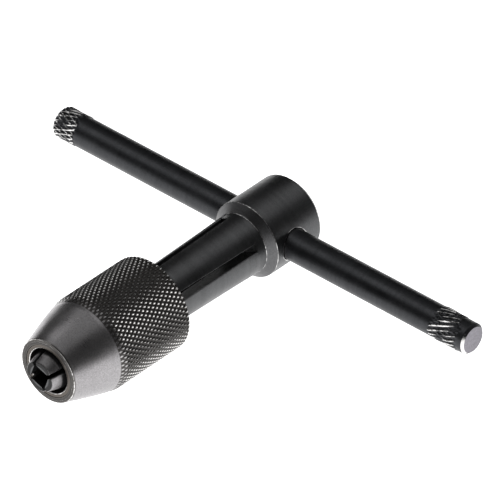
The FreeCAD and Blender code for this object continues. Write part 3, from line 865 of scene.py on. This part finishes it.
class TAPWRENCH_OT_jaws(bpy.types.Operator):
    """Make the four spring jaws, each bending at the closed end of the slots"""
    bl_idname = "tapwrench.jaws"
    bl_label = "Spring jaws"

    def execute(self, context):
        _, shank, _, colours, _ = settings()
        steel = blackened_steel("blackened_jaws", colours.oxide, colours.worn_and_highlight,
                                roughness=0.40, rings=0.25, grain=0.55, bare=colours.cone)
        for number in range(JAW_COUNT):
            body = f"jaw_{number + 1}"
            shell, ground = jaw_surface(shank, number)
            piece = make_piece(f"spring_{body}", [shell], steel, sharp=28.0,
                               ground=ground)
            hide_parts(body)
            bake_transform(piece)
        return {"FINISHED"}


class TAPWRENCH_OT_head(bpy.types.Operator):
    """Make the shank's root and the head with the hole for the bar"""
    bl_idname = "tapwrench.head"
    bl_label = "Head"

    def execute(self, context):
        _, shank, _, colours, _ = settings()
        steel = blackened_steel("blackened_head", colours.oxide, colours.worn_and_highlight,
                                roughness=0.40, rings=0.25, grain=0.55, bare=colours.cone)
        shells, ground = head_surfaces(shank)
        piece = make_piece("turned_head", shells, steel, sharp=28.0, merge=True,
                           ground=ground)
        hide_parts("head_and_shank")
        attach(piece, "handle_body")
        return {"FINISHED"}


class TAPWRENCH_OT_bar(bpy.types.Operator):
    """Make the sliding bar with a raised knurl near each end"""
    bl_idname = "tapwrench.bar"
    bl_label = "T-bar"

    def execute(self, context):
        _, _, bar, colours, _ = settings()
        steel = blackened_steel("blued_bar", colours.bar, colours.worn_and_highlight,
                                roughness=0.42, rings=0.3, grain=0.4, along="X",
                                centre=(0.0, BAR_ALONG, AXIS_HEIGHT), bare=colours.ground)
        shell, ground = bar_surface(bar)
        piece = make_piece("sliding_bar", [shell], steel, sharp=35.0, ground=ground)
        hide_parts("t_bar")
        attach(piece, "bar")
        return {"FINISHED"}


class TAPWRENCH_OT_detent(bpy.types.Operator):
    """Finish the detent's ball, spring and plug"""
    bl_idname = "tapwrench.detent"
    bl_label = "Detent"

    def execute(self, context):
        _, _, _, colours, _ = settings()
        bright = blackened_steel("polished_detent", (0.55, 0.55, 0.56), colours.worn_and_highlight,
                                 roughness=0.22, rings=0.2, grain=0.1)
        plug = blackened_steel("blackened_plug", colours.oxide, colours.worn_and_highlight,
                               roughness=0.45, rings=0.8, grain=0.4, spots=0.5)
        for node, material in (("detent_ball", bright), ("detent_spring", bright),
                               ("detent_plug", plug)):
            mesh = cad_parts[node].data
            mesh.materials.clear()
            mesh.materials.append(material)
        return {"FINISHED"}


class TAPWRENCH_OT_stage(bpy.types.Operator):
    """Make the pale floor, the soft studio light and the camera"""
    bl_idname = "tapwrench.stage"
    bl_label = "Stage"

    def execute(self, context):
        studio = settings()[-1]
        scene = context.scene
        reach = 3.0
        corners = [(-reach, -reach, 0), (reach, -reach, 0), (reach, reach, 0), (-reach, reach, 0)]
        mesh = bpy.data.meshes.new("floor")
        mesh.from_pydata(corners, [], [(0, 1, 2, 3)])
        floor = bpy.data.objects.new("floor", mesh)
        scene.collection.objects.link(floor)
        paper = Finish("pale_paper")
        grain = paper.noise(paper.place((0.0, 0.0, 0.0)), 60.0, 2.0, 0.5)
        near = tuple(0.985 * part for part in studio.floor)
        paper.link(paper.mix(grain, near, tuple(studio.floor)), paper.shader.inputs["Base Color"])
        paper.shader.inputs["Roughness"].default_value = 0.9
        paper.shader.inputs["Emission Color"].default_value = (1.0, 1.0, 1.0, 1.0)
        paper.shader.inputs["Emission Strength"].default_value = studio.glow
        mesh.materials.append(paper.material)

        world = bpy.data.worlds.new("studio")
        world.use_nodes = True
        sky = world.node_tree.nodes["Background"]
        sky.inputs["Color"].default_value = (1, 1, 1, 1)
        sky.inputs["Strength"].default_value = studio.sky
        scene.world = world

        target = np.array([0.0, BAR_ALONG, AXIS_HEIGHT])
        for name, heading, size, power in (("key", (-0.05, 0.20, 0.98), 1.15, studio.key),
                                           ("back", (0.08, 0.56, 0.82), 0.75, studio.back),
                                           ("side", (-0.55, -0.27, 0.79), 0.62, studio.side)):
            direction = np.array(heading) / np.linalg.norm(heading)
            lamp = bpy.data.lights.new(name, "AREA")
            lamp.shape = "DISK"
            lamp.size = size
            lamp.energy = power
            fixture = bpy.data.objects.new(name, lamp)
            scene.collection.objects.link(fixture)
            fixture.matrix_world = looking_from(target + direction, direction)

        left_shift = 2.70 * MM
        down_shift = 4.13 * MM
        back = np.array([0.537, -0.597, 0.596])
        back /= np.linalg.norm(back)
        right, up = level_axes(back)
        aim = target - left_shift * right - down_shift * up
        lens = bpy.data.cameras.new("camera")
        lens.lens = studio.lens
        lens.sensor_width = 36.0
        lens.clip_start = 0.01
        lens.clip_end = 20.0
        camera = bpy.data.objects.new("camera", lens)
        scene.collection.objects.link(camera)
        camera.matrix_world = looking_from(aim + studio.distance * back, back)
        scene.camera = camera
        scene.view_settings.view_transform = "Standard"
        return {"FINISHED"}


def level_axes(back):
    """The level direction to the right of back, and the upward one across both."""
    right = np.cross([0.0, 0.0, 1.0], back)
    right /= np.linalg.norm(right)
    return right, np.cross(back, right)


def looking_from(position, back):
    """A placement whose own Z points along back and whose X stays level."""
    right, up = level_axes(back)
    matrix = np.eye(4)
    matrix[:3, 0], matrix[:3, 1], matrix[:3, 2], matrix[:3, 3] = right, up, back, position
    return Matrix(matrix.tolist())


class TAPWRENCH_PT_panel(bpy.types.Panel):
    """Lists the tap wrench's pieces"""
    bl_idname = "TAPWRENCH_PT_panel"
    bl_label = "Tap wrench"
    bl_space_type = "VIEW_3D"
    bl_region_type = "UI"
    bl_category = "Tap wrench"

    def draw(self, context):
        for operator in OPERATORS:
            self.layout.operator(operator.bl_idname)
        for group in settings():
            box = self.layout.box()
            for key in group.__annotations__:
                box.prop(group, key)


GROUPS = {"tap_wrench_chuck": TapWrenchChuckSizes, "tap_wrench_shank": TapWrenchShankSizes,
          "tap_wrench_bar": TapWrenchBarSizes, "tap_wrench_finish": TapWrenchFinish,
          "tap_wrench_studio": TapWrenchStudio}
OPERATORS = (TAPWRENCH_OT_sleeve, TAPWRENCH_OT_liner, TAPWRENCH_OT_jaws, TAPWRENCH_OT_head,
             TAPWRENCH_OT_bar, TAPWRENCH_OT_detent, TAPWRENCH_OT_stage)
CLASSES = (*GROUPS.values(), *OPERATORS, TAPWRENCH_PT_panel)


def register():
    for part in CLASSES:
        bpy.utils.register_class(part)
    for name, group in GROUPS.items():
        setattr(bpy.types.Scene, name, bpy.props.PointerProperty(type=group))


def unregister():
    for name in GROUPS:
        delattr(bpy.types.Scene, name)
    for part in reversed(CLASSES):
        bpy.utils.unregister_class(part)


def main():
    register()
    bpy.ops.tapwrench.sleeve()
    bpy.ops.tapwrench.liner()
    bpy.ops.tapwrench.jaws()
    bpy.ops.tapwrench.head()
    bpy.ops.tapwrench.bar()
    bpy.ops.tapwrench.detent()
    bpy.ops.tapwrench.stage()


if __name__ == "__main__":
    main()
